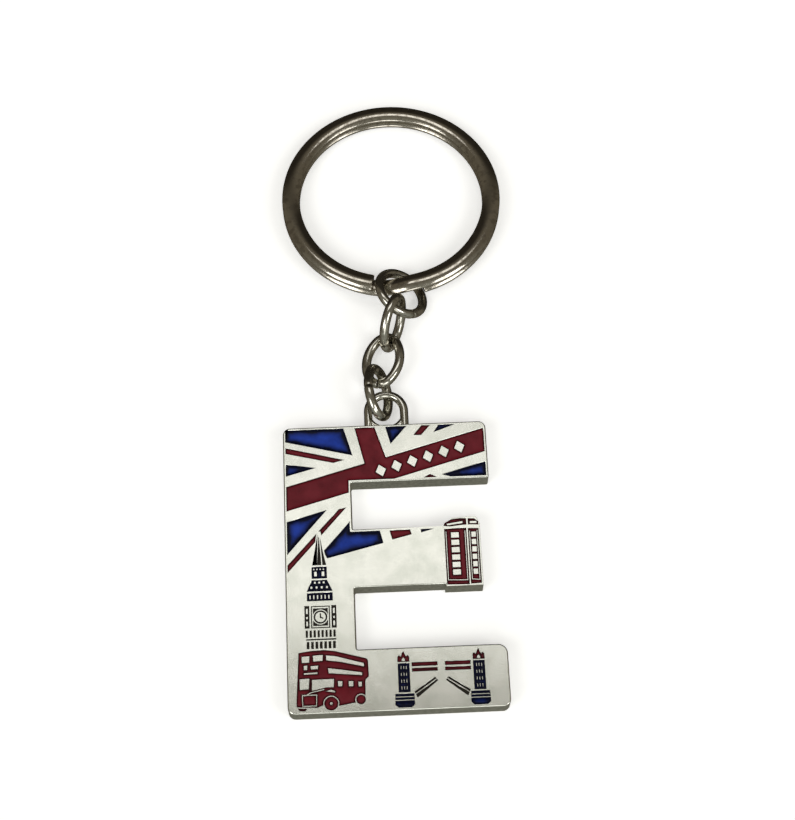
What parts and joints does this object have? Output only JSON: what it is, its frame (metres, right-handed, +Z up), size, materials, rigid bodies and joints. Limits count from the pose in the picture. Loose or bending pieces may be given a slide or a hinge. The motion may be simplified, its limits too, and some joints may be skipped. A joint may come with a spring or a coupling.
{
  "type": "keychain",
  "caption": "Flat letter charm with enamelled pictures, joined by a short link chain and a jump ring to a split key ring.",
  "frame": {"origin": "middle of the bounding box in plan, on the surface the keychain lies on", "axes": "+Z up out of the charm's front face, +Y from the charm along the chain to the split ring, +X to the right of the letter as it is read"},
  "size_m": [0.0304, 0.0867, 0.0062],
  "materials": {
    "satin_nickel": "satin plated",
    "polished_nickel": "polished plated wire",
    "nickel_steel": "polished plated spring steel",
    "red_enamel": "soft enamel",
    "blue_enamel": "soft enamel",
    "antique_fill": "antique wash"
  },
  "bodies": {
    "charm": {"charm_plate": "satin_nickel", "flag_cross_red": "red_enamel", "flag_stripe_red_1": "red_enamel", "flag_stripe_red_2": "red_enamel", "flag_stripe_red_3": "red_enamel", "flag_stripe_red_4": "red_enamel", "flag_stripe_red_5": "red_enamel", "flag_field_blue_1": "blue_enamel", "flag_field_blue_2": "blue_enamel", "flag_field_blue_3": "blue_enamel", "flag_field_blue_4": "blue_enamel", "flag_field_blue_5": "blue_enamel", "flag_field_blue_6": "blue_enamel", "flag_field_blue_7": "blue_enamel", "flag_field_blue_8": "blue_enamel", "tower_spire_fill": "antique_fill", "tower_stage_blue": "blue_enamel", "tower_roof_blue": "blue_enamel", "tower_belfry_blue": "blue_enamel", "tower_clock_fill": "antique_fill", "tower_louvre_fill": "antique_fill", "tower_pillar_fill": "antique_fill", "bus_red": "red_enamel", "phone_roof_red": "red_enamel", "phone_front_red": "red_enamel", "phone_side_red": "red_enamel", "bridge_left_blue": "blue_enamel", "bridge_right_blue": "blue_enamel", "bridge_left_cap_red": "red_enamel", "bridge_right_cap_red": "red_enamel", "bridge_left_pier_blue": "blue_enamel", "bridge_right_pier_blue": "blue_enamel", "bridge_left_walkway_red": "red_enamel", "bridge_right_walkway_red": "red_enamel", "bridge_left_span_dark": "antique_fill", "bridge_right_span_dark": "antique_fill"},
    "lower_link": {"chain_link_lower": "polished_nickel"},
    "middle_link": {"chain_link_middle": "polished_nickel"},
    "upper_link": {"chain_link_upper": "polished_nickel"},
    "jump_ring": {"jump_ring": "polished_nickel"},
    "split_ring": {"split_ring": "nickel_steel"}
  },
  "joints": [
    {"name": "lower_link_swing", "type": "hinge", "parent": "charm", "child": "lower_link", "pos_m": [-0.00138, -0.00113, 0.0019], "axis": [0.9388, 0.1698, 0.2996], "range_deg": [-45, 35]},
    {"name": "middle_link_swing", "type": "hinge", "parent": "lower_link", "child": "middle_link", "pos_m": [-0.002, 0.00048, 0.00216], "axis": [0.9253, -0.0298, 0.3781], "range_deg": [-45, 35]},
    {"name": "upper_link_swing", "type": "hinge", "parent": "middle_link", "child": "upper_link", "pos_m": [-0.00083, 0.0071, 0.00209], "axis": [0.8744, -0.3577, 0.3279], "range_deg": [-45, 35]},
    {"name": "jump_ring_swing", "type": "hinge", "parent": "upper_link", "child": "jump_ring", "pos_m": [-0.00064, 0.01095, 0.00427], "axis": [0.8075, -0.5084, -0.2991], "range_deg": [-25, 40]},
    {"name": "split_ring_swing", "type": "hinge", "parent": "jump_ring", "child": "split_ring", "pos_m": [0.00071, 0.01455, 0.00253], "axis": [0.9554, -0.1592, 0.2488], "range_deg": [0, 60]}
  ]
}
